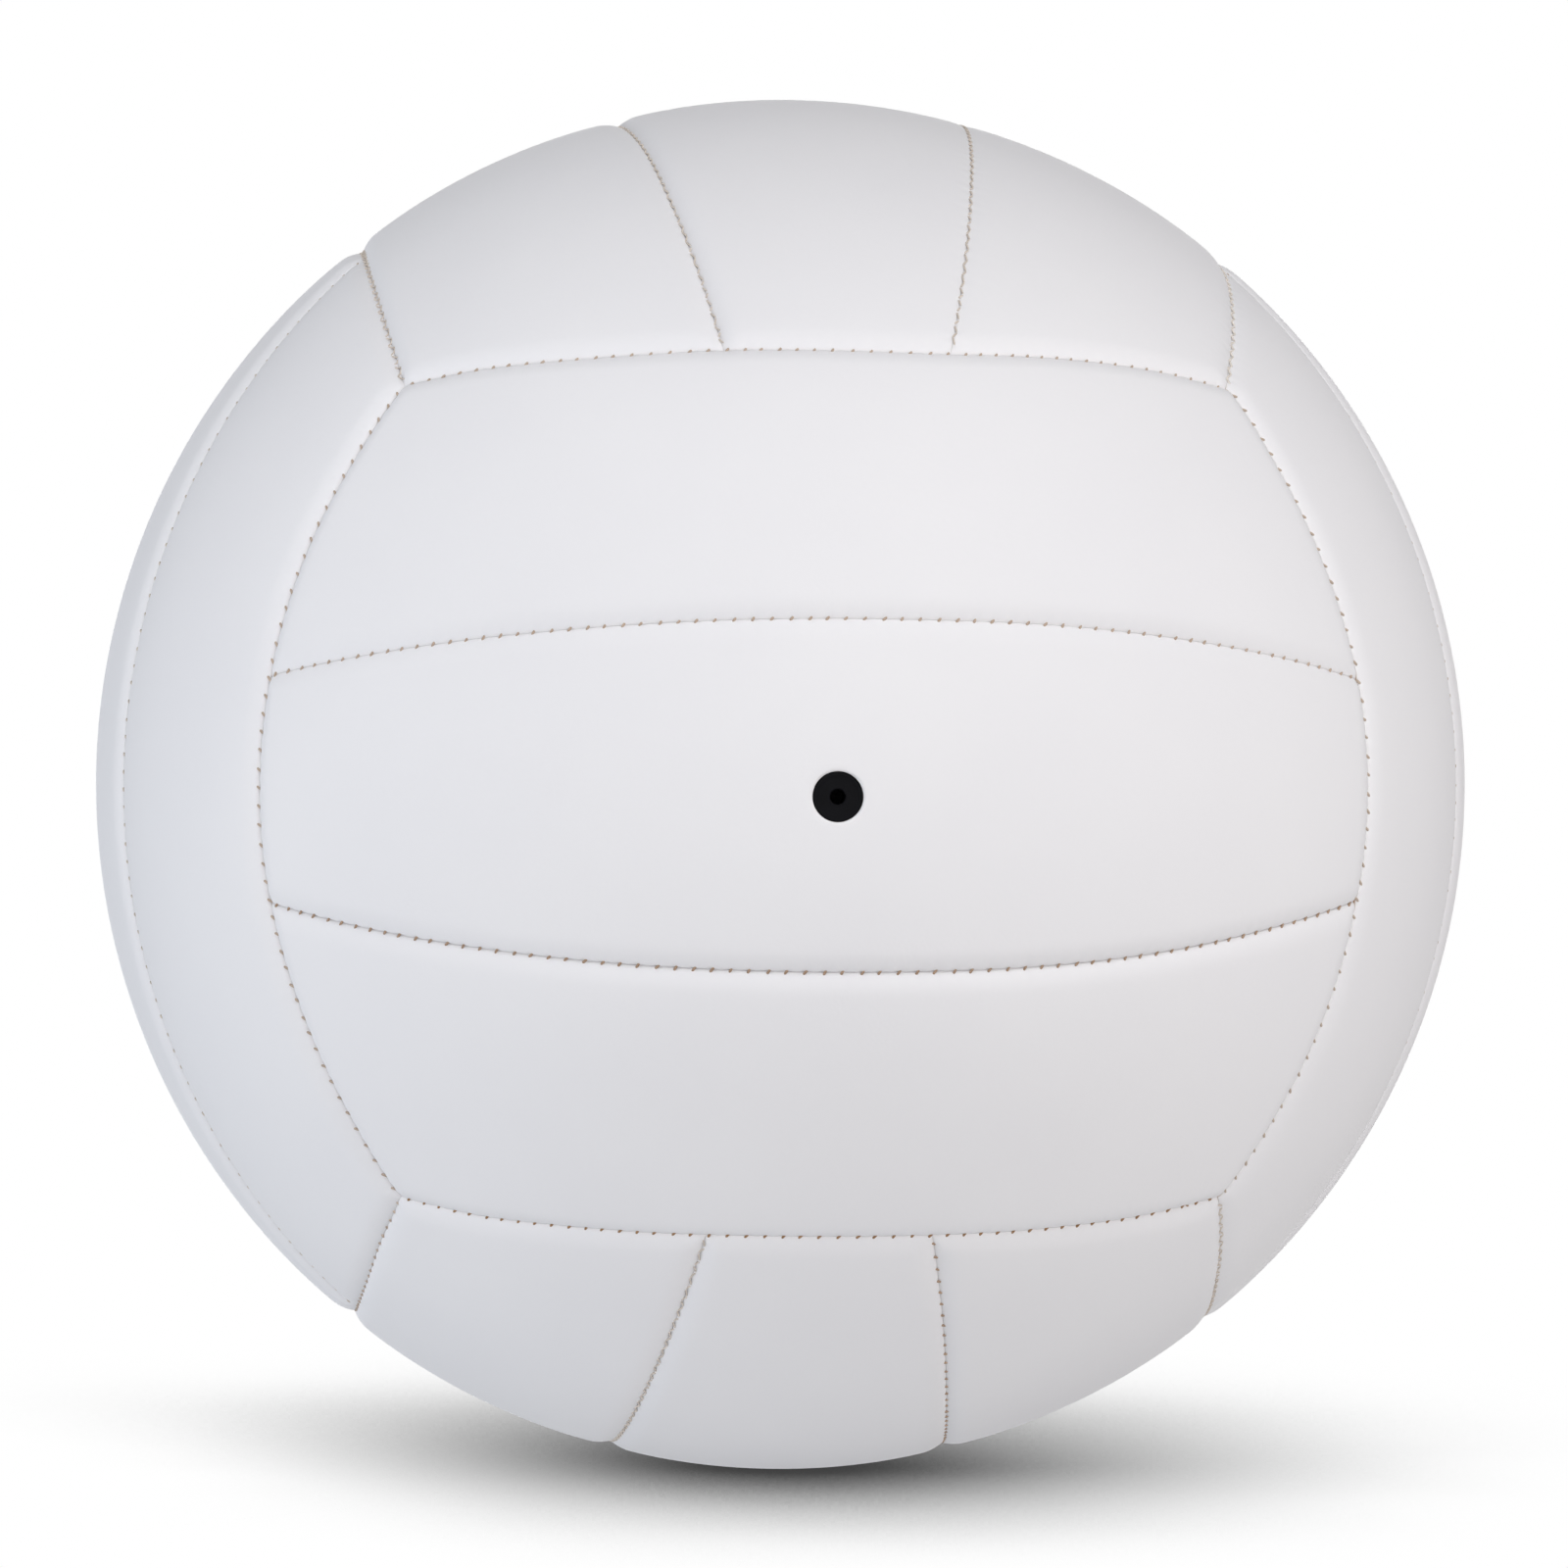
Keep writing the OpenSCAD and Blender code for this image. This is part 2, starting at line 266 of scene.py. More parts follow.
# Steps between the lines of a panel's mesh, from its edge inward, and the step over the rest of it. The
# outermost line lies inside the seam by the inset. Rounds are repeats until a side strip's angles settle.
EDGE_STEPS = (0.10, 0.12, 0.15, 0.18, 0.22, 0.27, 0.32, 0.37, 0.42, 0.47, 0.52)
MESH_STEP = 0.58
PANEL_HALF_LENGTH = BALL_R * END_SEAM
MIDDLE_HALF_WIDTH = BALL_R * STRIP_SEAM
SIDE_HALF_WIDTH = BALL_R * (math.pi / 2 - END_SEAM - STRIP_SEAM) / 2
EDGE_INSET = 0.01
SETTLING_ROUNDS = 12

# How deep the leather sinks at a seam and how far from it each cause reaches: the swell of the padding, the
# turned-in lip, the pucker at a stitch, and the pull of the thread, which comes and goes along the seam. Then
# the slow waves between seams, and the depth that every place has.
SWELL_DEPTH = 0.26
SWELL_REACH = 5.5
LIP_DEPTH = 0.10
LIP_REACH = 0.16
PUCKER_DEPTH = 0.20
PUCKER_REACH = 0.8
PULL_DEPTH = 0.035
PULL_REACH = 3.6
PULL_TURN = 2.6
WAVE_HEIGHT = 0.02
WAVE_SIZE = 26
WAVE_COUNT = 5
SKIN_DROP = 0.015

# The valve's hole in a panel, the half width of the patch of cells that it takes out, the rings that fill the
# rest of that patch, how they crowd towards the hole, and how the skin dips at the hole.
VALVE_HOLE_R = 3.65
VALVE_PATCH = 5.6
VALVE_RINGS = 7
RING_CROWDING = 0.8
HOLE_LIP = 0.18
HOLE_LIP_REACH = 0.22

# Where the rings of a panel's wall lie, those that close its inside, and those in the valve's hole, as shares
# of the way. Then how sharply its inside draws in at the edge, and how close points are merged.
WALL_SHARES = (0.12, 0.5, 1.0)
CLOSING_SHARES = (0.12, 0.35, 0.65, 1.0)
HOLE_WALL_SHARES = (0.1, 0.55)
EDGE_POWER = 24
PANEL_WELD = 0.0005


def grid_lines(half, fine=EDGE_STEPS, step=MESH_STEP):
    """Places of mesh lines from -1 to 1 over twice the half length: the fine steps at both ends and equal
    steps between them."""
    edge = EDGE_INSET + np.concatenate([[0], np.cumsum(fine)])
    inner = half - edge[-1]
    count = max(2, int(round(2 * inner / step)))
    middle = np.linspace(-inner, inner, count + 1)[1:-1]
    return np.concatenate([edge - half, middle, (half - edge)[::-1]]) / half


def panel_angles(strip, s, t):
    """Angles tau along and theta across the face for shares s and t from -1 to 1 over a panel. On the middle
    strip theta is t times the seam's angle. On a side strip theta runs from the strip seam to the flank and
    tau is s times the angle of the end seam, found by repeating both until they settle."""
    if strip == 0:
        theta = t * STRIP_SEAM
        return s * end_tau(theta), theta
    share = (1 + strip * t) / 2
    theta = STRIP_SEAM + share * (math.pi / 2 - END_SEAM - STRIP_SEAM)
    for _ in range(SETTLING_ROUNDS):
        tau = s * end_tau(theta)
        theta = STRIP_SEAM + share * (flank_theta(tau) - STRIP_SEAM)
    return tau, strip * theta


def directions(face_turn, tau, theta):
    """Unit directions for the two angles: sine of tau along X, and the rest turned by theta from Z to Y."""
    local = np.stack([np.sin(tau), np.cos(tau) * np.sin(theta), np.cos(tau) * np.cos(theta)], axis=-1)
    return local @ face_turn.T


def slow_waves(p, seed, size):
    """Mean of a few sines of the position on the ball, with seeded directions and phases, from -1 to 1."""
    rng = np.random.default_rng(seed)
    total = np.zeros(p.shape[:-1])
    for _ in range(WAVE_COUNT):
        axis = rng.normal(size=3)
        axis = axis / np.linalg.norm(axis) * rng.uniform(0.7, 1.4)
        total = total + np.sin(2 * math.pi * BALL_R / size * (p @ axis) + rng.uniform(0, 2 * math.pi))
    return total / WAVE_COUNT


def panel_depth(p, seams, seed):
    """Depth of the leather below the ball at directions p, and the distance to the nearest seam. Each seam
    draws it down on a parabola that starts one shoulder away and ends at the shoulder's slope, and on two
    exponentials of the distance: a wide one for the padding and a narrow one for the turned-in lip. The
    seams are joined by a sum of cubes under a cube root. A cosine of the count of stitches adds a pucker at
    each, and the same cosine times a sine along the seam adds the thread's uneven pull. Both fade as
    exponentials of the distance. Slow waves and an even depth are added."""
    cubes = np.zeros(p.shape[:-1])
    ripple = np.zeros(p.shape[:-1])
    nearest = np.full(p.shape[:-1], np.inf)
    for s, side, slope in seams:
        inside, along = seam_place(s, p)
        d = np.maximum(side * inside, 0)
        nearest = np.minimum(nearest, d)
        shoulder_share, swell_share, lip_share = s["shares"][0 if side > 0 else 1]
        shoulder = shoulder_share * slope * np.clip(SHOULDER - d, 0, SHOULDER) ** 2 / (2 * SHOULDER)
        swell = swell_share * SWELL_DEPTH * np.exp(-d / SWELL_REACH)
        lip = lip_share * LIP_DEPTH * np.exp(-d / LIP_REACH)
        cubes = cubes + (shoulder + swell + lip) ** 3
        phase = np.interp(along, s["stitches"], np.arange(len(s["stitches"])), left=0.5, right=0.5)
        wave = 0.5 + 0.5 * np.cos(2 * math.pi * phase)
        turns = PULL_TURN * along / STITCH_PITCH + s["seed"]
        pull = 0.5 + 0.5 * np.sin(turns) * np.cos(2 * math.pi * phase)
        ripple = ripple + PUCKER_DEPTH * wave * np.exp(-d / PUCKER_REACH)
        ripple = ripple + PULL_DEPTH * pull * np.exp(-d / PULL_REACH)
    waves = SKIN_DROP + WAVE_HEIGHT * (1 + slow_waves(p, seed, WAVE_SIZE)) / 2
    return np.cbrt(cubes) + ripple + waves, nearest


def grid_quads(rows, columns):
    """Corner numbers of the cells of a grid of rows by columns points, counted along the rows."""
    first = (np.arange(rows - 1)[:, None] * columns + np.arange(columns - 1)[None, :]).ravel()
    return np.stack([first, first + 1, first + columns + 1, first + columns], axis=1)


def ring_quads(loops):
    """Cells between following closed loops, each an array of point numbers of the same length."""
    loops = np.asarray(loops)
    a, b = loops[:-1], loops[1:]
    return np.stack([a, np.roll(a, -1, 1), np.roll(b, -1, 1), b], axis=-1).reshape(-1, 4)


def rim_of(rows, columns):
    """Point numbers round the edge of a grid, anticlockwise for columns to the right and rows upward."""
    n = np.arange(rows * columns).reshape(rows, columns)
    return np.concatenate([n[0, :-1], n[:-1, -1], n[-1, :0:-1], n[:0:-1, 0]])


def make_mesh(name, points, faces, attributes=(), uv=None, weld=0.0):
    """Object at the origin from points in millimetres and faces of four corners, smooth, with its doubles
    merged where weld is over 0."""
    mesh = bpy.data.meshes.new(name)
    points = np.asarray(points, float) * MM
    faces = np.asarray(faces, np.int32)
    mesh.vertices.add(len(points))
    mesh.vertices.foreach_set("co", points.astype(np.float32).ravel())
    mesh.loops.add(faces.size)
    mesh.loops.foreach_set("vertex_index", faces.ravel())
    mesh.polygons.add(len(faces))
    mesh.polygons.foreach_set("loop_start", np.arange(0, faces.size, faces.shape[1], dtype=np.int32))
    mesh.polygons.foreach_set("use_smooth", np.ones(len(faces), bool))
    mesh.update(calc_edges=True)
    for label, values in attributes:
        layer = mesh.attributes.new(label, "FLOAT", "POINT")
        layer.data.foreach_set("value", np.asarray(values, np.float32).ravel())
    if uv is not None:
        layer = mesh.uv_layers.new(name="UVMap")
        layer.data.foreach_set("uv", np.asarray(uv, np.float32)[faces.ravel()].ravel())
    if weld > 0:
        bm = bmesh.new()
        bm.from_mesh(mesh)
        bmesh.ops.remove_doubles(bm, verts=bm.verts, dist=weld * MM)
        bm.to_mesh(mesh)
        bm.free()
    mesh.validate()
    obj = bpy.data.objects.new(name, mesh)
    bpy.context.scene.collection.objects.link(obj)
    return obj


def finish_piece(obj, material, slot, *nodes):
    """Gives a piece its material and body, and hides the CAD nodes that it stands for. The slot is not used.
    """
    obj.data.materials.append(material)
    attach(obj, "root")
    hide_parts(*nodes)


def panel_grid(s_lines, t_lines, hole):
    """A grid over a panel: shares s and t of its points, its cells, the point numbers round its edge, and
    those round the valve's hole. The hole takes a square patch of cells out, and rings of cells fill the
    space between the patch and the circle. Each ring lies, at the same angles, a share of the way from the
    patch's edge to the circle: its number over their count, to the power of the crowding."""
    columns, rows = len(s_lines), len(t_lines)
    s, t = [a.ravel() for a in np.meshgrid(s_lines, t_lines)]
    quads, edge = grid_quads(rows, columns), rim_of(rows, columns)
    if hole is None:
        return s, t, quads, edge, None
    patch, hole_r, count = hole
    x = s_lines * PANEL_HALF_LENGTH
    y = t_lines * MIDDLE_HALF_WIDTH
    i0, i1 = np.searchsorted(y, -patch), np.searchsorted(y, patch)
    j0, j1 = np.searchsorted(x, -patch), np.searchsorted(x, patch)
    n = np.arange(rows * columns).reshape(rows, columns)[i0:i1 + 1, j0:j1 + 1]
    rim = n.ravel()[rim_of(*n.shape)]
    px, py = x[rim % columns], y[rim // columns]
    angle = np.arctan2(py, px)
    share = (np.arange(1, count + 1) / count)[:, None] ** RING_CROWDING
    ring_s = (px + share * (hole_r * np.cos(angle) - px)) / PANEL_HALF_LENGTH
    ring_t = (py + share * (hole_r * np.sin(angle) - py)) / MIDDLE_HALF_WIDTH
    keep = np.ones((rows - 1, columns - 1), bool)
    keep[i0:i1, j0:j1] = False
    rings = len(s) + np.arange(ring_s.size).reshape(ring_s.shape)
    quads = np.concatenate([quads[keep.ravel()], ring_quads(np.concatenate([rim[None], rings]))])
    s, t = np.concatenate([s, ring_s.ravel()]), np.concatenate([t, ring_t.ravel()])
    return s, t, quads, edge, rings[-1]


def inward(values, by):
    """Shares drawn towards the middle by a fraction times a high power of the share, so only near
    the edge."""
    return values * (1 - by * np.abs(values) ** EDGE_POWER)


def cover_panel(face, degrees, strip, strip_name, seed, holed):
    """A leather panel as a closed tray. Its outside is a grid over the panel at the ball's radius less the
    depth, which dips at the valve's hole on an exponential of the distance. The rim drops as a wall to the
    backing's radius, steps in by the leather's thickness, and comes back up inside, where the rings close
    onto the panel's mid-line, or follow the outside if it has the hole."""
    face_turn = turn(degrees)
    seams = panel_seams(face, degrees, strip)
    half_width = MIDDLE_HALF_WIDTH if strip == 0 else SIDE_HALF_WIDTH
    s_lines, t_lines = grid_lines(PANEL_HALF_LENGTH), grid_lines(half_width)
    s, t, quads, rim, hole = panel_grid(
        s_lines, t_lines, (VALVE_PATCH, VALVE_HOLE_R, VALVE_RINGS) if holed else None
    )

    def skin(s, t):
        """Direction and radius of the outside at shares s and t, and the distance to the nearest seam."""
        tau, theta = panel_angles(strip, s, t)
        p = directions(face_turn, tau, theta)
        depth, near = panel_depth(p, seams, seed)
        return wander(p), BALL_R - depth, near

    p, r, near = skin(s, t)
    if holed:
        off = np.hypot(s * PANEL_HALF_LENGTH, t * MIDDLE_HALF_WIDTH) - VALVE_HOLE_R
        r = r - HOLE_LIP * np.exp(-np.maximum(off, 0) / HOLE_LIP_REACH)
    points, cut, nears = [p * r[:, None]], [np.zeros(len(p))], [near]
    faces = [quads]
    count = len(p)

    def ring(direction, radius, is_cut):
        """Adds a loop of points and returns their numbers."""
        nonlocal count
        points.append(direction * radius[:, None])
        cut.append(np.full(len(direction), float(is_cut)))
        nears.append(np.zeros(len(direction)))
        count += len(direction)
        return np.arange(count - len(direction), count)

    rim_p, rim_r = p[rim], r[rim]
    wall = [rim]
    for share in WALL_SHARES:
        wall.append(ring(rim_p, rim_r + share * (BACKING_INNER_R - rim_r), 1))
    by_s, by_t = COVER_T / PANEL_HALF_LENGTH, COVER_T / half_width
    if not holed:
        tray_s, tray_t = s[rim] * (1 - by_s), t[rim] * (1 - by_t)
        q, q_r, _ = skin(tray_s, tray_t)
        wall.append(ring(q, np.full(len(q), BACKING_INNER_R), 1))
        wall.append(ring(q, q_r - COVER_T, 1))
        for share in CLOSING_SHARES:
            q, q_r, _ = skin(tray_s, tray_t * (1 - share))
            wall.append(ring(q, q_r - COVER_T, 1))
        faces.append(ring_quads(wall)[:, ::-1])
    else:
        q, q_r, _ = skin(inward(s, by_s), inward(t, by_t))
        q[hole] = p[hole]
        wall.append(ring(q[rim], np.full(len(rim), BACKING_INNER_R), 1))
        inner = ring(q, q_r - COVER_T, 1)
        wall.append(inner[rim])
        faces.append(ring_quads(wall)[:, ::-1])
        faces.append(inner[quads][:, ::-1])
        drop = [hole]
        for share in HOLE_WALL_SHARES:
            radius = r[hole] + share * (q_r[hole] - COVER_T - r[hole])
            drop.append(ring(p[hole], radius, share > HOLE_WALL_SHARES[0]))
        drop.append(inner[hole])
        faces.append(ring_quads(drop))
    return make_mesh(
        f"panel_{face}_{strip_name}",
        np.concatenate(points),
        np.concatenate(faces),
        [("cut", np.concatenate(cut)), ("seam_mm", np.concatenate(nears))],
        weld=PANEL_WELD,
    )


# Pads and cloths

# How far they stay inside their panel's edges, the steps of their mesh, the slack under the leather, and the
# hole for the valve's neck with its patch of cells and rings.
PAD_INSET = 1.4
PAD_STEPS = (0.5, 0.8)
PAD_STEP = 3.0
PAD_SLACK = 0.12
PAD_HOLE_R = 4.85
PAD_PATCH = 7.0
PAD_RINGS = 2


def pad_layer(name, face, degrees, strip, seed, outer_r, inner_r, holed):
    """A pad or cloth under a panel: a grid over the panel, set in from its edges, as two skins joined round
    the rim and round the valve's neck. The lower skin is a ball. The upper skin is a ball too, or where no
    radius is given it follows the panel's depth, one leather and a little slack below it. Returns the piece
    and the area of its upper skin in square metres, the sum of half the cross products of its cells."""
    face_turn = turn(degrees)
    half_width = MIDDLE_HALF_WIDTH if strip == 0 else SIDE_HALF_WIDTH
    s_lines = grid_lines(PANEL_HALF_LENGTH, PAD_STEPS, PAD_STEP) * (1 - PAD_INSET / PANEL_HALF_LENGTH)
    t_lines = grid_lines(half_width, PAD_STEPS, PAD_STEP) * (1 - PAD_INSET / half_width)
    s, t, quads, rim, hole = panel_grid(
        s_lines, t_lines, (PAD_PATCH, PAD_HOLE_R, PAD_RINGS) if holed else None
    )
    tau, theta = panel_angles(strip, s, t)
    p = directions(face_turn, tau, theta)
    n = len(p)
    if outer_r is None:
        depth, _ = panel_depth(p, panel_seams(face, degrees, strip), seed)
        outer_r = BALL_R - depth - COVER_T - PAD_SLACK
    else:
        outer_r = np.full(n, outer_r)
    p = wander(p)
    upper = p * outer_r[:, None]
    faces = [quads, (quads + n)[:, ::-1], ring_quads([rim, rim + n])[:, ::-1]]
    if holed:
        faces.append(ring_quads([hole, hole + n]))
    a, b, c, d = [upper[quads[:, k]] for k in range(4)]
    area = 0.5 * np.linalg.norm(np.cross(c - a, d - b), axis=1).sum() * MM**2
    uv = np.stack([tau, theta], axis=1) * BALL_R * MM
    piece = make_mesh(
        name, np.concatenate([upper, p * inner_r]), np.concatenate(faces), uv=np.concatenate([uv, uv])
    )
    return piece, float(area)


# Stitches

# The thread's radius, how far a stitch reaches each way across and along the groove, how high it arches and
# how deep it lies. Then the lean of a stitch that is sewn over others, and the slant, the depth and the share
# of the thread's radius in a zigzag.
STITCH_R = 0.20
STITCH_REACH = 0.40
STITCH_SLANT = 0.26
STITCH_ARCH = 0.10
STITCH_SINK = 0.14
TWICE_LEAN = -2.4
ZIGZAG_SLANT = 0.62
ZIGZAG_SINK = 0.04
ZIGZAG_THIN = 0.7
# A stitch's mesh, how blunt its ends are, and how close points are merged.
STITCH_SIDES = 6
STITCH_RINGS = 7
STITCH_BLUNTNESS = 5
STITCH_WELD = 0.00001
# What is added to a seam's seed, and the least and the most of a random share, for slant and depth, and for
# reach.
STITCH_SEED = 500
SPREAD = (0.7, 1.3)
REACH_SPREAD = (0.85, 1.15)


def stitches(name, keys, slope):
    """One mesh of all stitches of some seams. A stitch is a tube along a short arch that crosses the groove
    on a slant: across is the reach times v, along is the slant times v, and its depth grows with the square
    of v, for v from -1 to 1. Its radius is the thread's times the root of 1 less a power of v, so that both
    ends are closed. A stitch that is sewn over the others slants the other way, and more. In a zigzag, each
    stitch slants against the one before, and its depth falls with the absolute of v times its reach and the
    slope of the shoulder."""
    v = np.linspace(-1, 1, STITCH_RINGS)
    around = np.arange(STITCH_SIDES) / STITCH_SIDES * 2 * math.pi
    radius = STITCH_R * np.sqrt(np.clip(1 - np.abs(v) ** STITCH_BLUNTNESS, 0, 1))
    rings, tones = [], []
    for key in keys:
        s = SEAMS[key]
        rng = np.random.default_rng(s["seed"] + STITCH_SEED)
        size, pale = STITCH_LOOK.get(key, USUAL_STITCH)
        # The floor of the groove, as the shallower of its two sides has it, without the lip.
        floor, steep = min(
            (shoulder * slope * SHOULDER / 2 + swell * SWELL_DEPTH, shoulder * slope)
            for shoulder, swell, _ in s["shares"]
        )
        places = s["stitches"]
        if key in ZIGZAG:
            places = np.interp(np.arange(0, len(places) - 0.5, 0.5), np.arange(len(places)), places)
            lean = ZIGZAG_SLANT / (STITCH_SLANT * size) * (-1) ** np.arange(len(places))
            rise, sink, thin = steep, ZIGZAG_SINK, ZIGZAG_THIN
        else:
            twice = SEWN_TWICE.get(key, ())
            lean = np.concatenate([np.ones(len(places)), np.full(len(twice), TWICE_LEAN)])
            places = np.concatenate([places, twice])
            rise, sink, thin = 0.0, STITCH_SINK, 1.0
        n = len(places)
        phi = places / (BALL_R * math.sin(s["cone"]))
        out = s["toward"] * np.cos(phi)[:, None] + s["across"] * np.sin(phi)[:, None]
        p = s["axis"] * math.cos(s["cone"]) + out * math.sin(s["cone"])
        along = -s["toward"] * np.sin(phi)[:, None] + s["across"] * np.cos(phi)[:, None]
        across = np.cross(p, along)
        p = wander(p)
        slant = STITCH_SLANT * size * lean * rng.uniform(*SPREAD, n)
        reach = STITCH_REACH * size * rng.uniform(*REACH_SPREAD, n)
        depth = (floor + sink * rng.uniform(*SPREAD, n))[:, None] + STITCH_ARCH * v**2
        depth = depth - rise * reach[:, None] * np.abs(v)
        path = (
            p[:, None] * (BALL_R - depth)[..., None]
            + across[:, None] * (reach[:, None] * v)[..., None]
            + along[:, None] * (slant[:, None] * v)[..., None]
        )
        lie = across * reach[:, None] + along * slant[:, None]
        lie = lie / np.linalg.norm(lie, axis=1, keepdims=True)
        side = np.cross(lie, p)
        circle = (
            side[:, None, None] * np.cos(around)[None, None, :, None]
            + p[:, None, None] * np.sin(around)[None, None, :, None]
        )
        rings.append(path[:, :, None] + circle * thin * radius[None, :, None, None])
        tones.append(np.full(n * STITCH_RINGS * STITCH_SIDES, pale))
    points = np.concatenate(rings)
    total = len(points)
    base = np.arange(total)[:, None, None] * STITCH_RINGS * STITCH_SIDES
    k = np.arange(STITCH_RINGS - 1)[None, :, None] * STITCH_SIDES
    a = np.arange(STITCH_SIDES)[None, None, :]
    b = (a + 1) % STITCH_SIDES
    quads = np.stack(
        [base + k + a, base + k + b, base + k + STITCH_SIDES + b, base + k + STITCH_SIDES + a], axis=-1
    ).reshape(-1, 4)
    pale_values = [("pale", np.concatenate(tones))]
    return make_mesh(name, points.reshape(-1, 3), quads, pale_values, weld=STITCH_WELD)


# Valve

# The head's radius and the height of its face, which lies below the leather, and the needle's hole.
VALVE_SIDES = 96
VALVE_HEAD_R = 3.55
VALVE_TOP = BALL_R - 0.4
NEEDLE_R = 1.1


def lathe(name, profile, sides, degrees):
    """Closed solid of turned profile points (distance from the axis, height), first and last joined, about
    the axis that the turn brings from +Z."""
    profile = np.asarray(profile, float)
    angle = np.arange(sides) / sides * 2 * math.pi
    r, z = profile[:, 0][:, None], profile[:, 1][:, None]
    points = np.stack([r * np.cos(angle), r * np.sin(angle), z + 0 * angle], axis=-1) @ turn(degrees).T
    loops = np.arange(points.shape[0] * sides).reshape(-1, sides)
    loops = np.concatenate([loops, loops[:1]])
    return make_mesh(name, points.reshape(-1, 3), ring_quads(loops))


def rounded(corners, radii, steps=5):
    """Profile through corners, each rounded by a curve that starts and ends at its radius from the corner:
    the mean of start, corner and end, weighted by the square of a falling share, twice its product with the
    rising one, and the square of the rising one."""
    corners = np.asarray(corners, float)
    k = np.linspace(0, 1, steps)[:, None]
    out = []
    for i, (c, radius) in enumerate(zip(corners, radii)):
        if radius == 0:
            out.append(c[None])
            continue
        before, after = corners[i - 1], corners[(i + 1) % len(corners)]
        start = c + (before - c) / np.linalg.norm(before - c) * radius
        end = c + (after - c) / np.linalg.norm(after - c) * radius
        out.append((1 - k) ** 2 * start + 2 * k * (1 - k) * c + k**2 * end)
    return np.concatenate(out)


def valve_housing():
    """The turned form of the valve: stem, flange, neck and head, with the dished face and the needle's hole,
    as a profile that starts at the bottom of the hole and runs outward."""
    flange_top, flange_low, stem_low = 100.20, 99.0, 89.0
    neck_r, flange_r, stem_r, neck_top = 4.7, 14.0, 6.0, 103.9
    plug_r, collar_r, collar_low, collar_high = 3.05, 4.05, 92.95, 95.05
    hole_low, dish = 99.05, 0.15
    corners = [
        (NEEDLE_R, hole_low), (plug_r, hole_low), (plug_r, collar_high), (collar_r, collar_high),
        (collar_r, collar_low), (plug_r, collar_low), (plug_r, stem_low), (stem_r, stem_low),
        (stem_r, flange_low - 0.18), (flange_r, flange_low - 0.99), (flange_r, flange_top - 0.98),
        (neck_r, flange_top - 0.1), (neck_r, neck_top), (VALVE_HEAD_R, neck_top),
        (VALVE_HEAD_R, VALVE_TOP), (VALVE_HEAD_R - 0.5, VALVE_TOP), (VALVE_HEAD_R - 0.75, VALVE_TOP - dish),
        (NEEDLE_R + 0.38, VALVE_TOP - dish), (NEEDLE_R + 0.2, VALVE_TOP - dish + 0.08),
        (NEEDLE_R, VALVE_TOP - dish - 0.1),
    ]
    radii = [0, 0, 0, 0, 0, 0, 0, 0.4, 0.4, 0.3, 0.3, 0.3, 0.3, 0, 0.16, 0.12, 0.12, 0.08, 0.06, 0.06]
    return lathe("valve_head", rounded(corners, radii), VALVE_SIDES, FACES[0][1])


# Materials


def linear(hex_colour):
    """Linear red, green and blue, with alpha 1, of an sRGB colour written as six hex digits."""
    c = np.array([int(hex_colour[i:i + 2], 16) for i in (0, 2, 4)]) / 255
    c = np.where(c <= 0.04045, c / 12.92, ((c + 0.055) / 1.055) ** 2.4)
    return (*c.tolist(), 1.0)


def node(tree, kind, inputs=None, **settings):
    """Adds a node, sets its properties, and fills its inputs with values or links them to sockets."""
    n = tree.nodes.new(kind)
    for key, value in settings.items():
        setattr(n, key, value)
    for key, value in (inputs or {}).items():
        if isinstance(value, bpy.types.NodeSocket):
            tree.links.new(value, n.inputs[key])
        else:
            n.inputs[key].default_value = value
    return n


def new_material(name):
    """An empty node material and the output of its coordinates."""
    material = bpy.data.materials.new(name)
    material.use_nodes = True
    material.node_tree.nodes.clear()
    tree = material.node_tree
    place = node(tree, "ShaderNodeTexCoord").outputs["Object"]
    return material, tree, place


def per_metre(millimetres):
    """Scale of a texture whose features are that many millimetres across."""
    return 1000 / millimetres


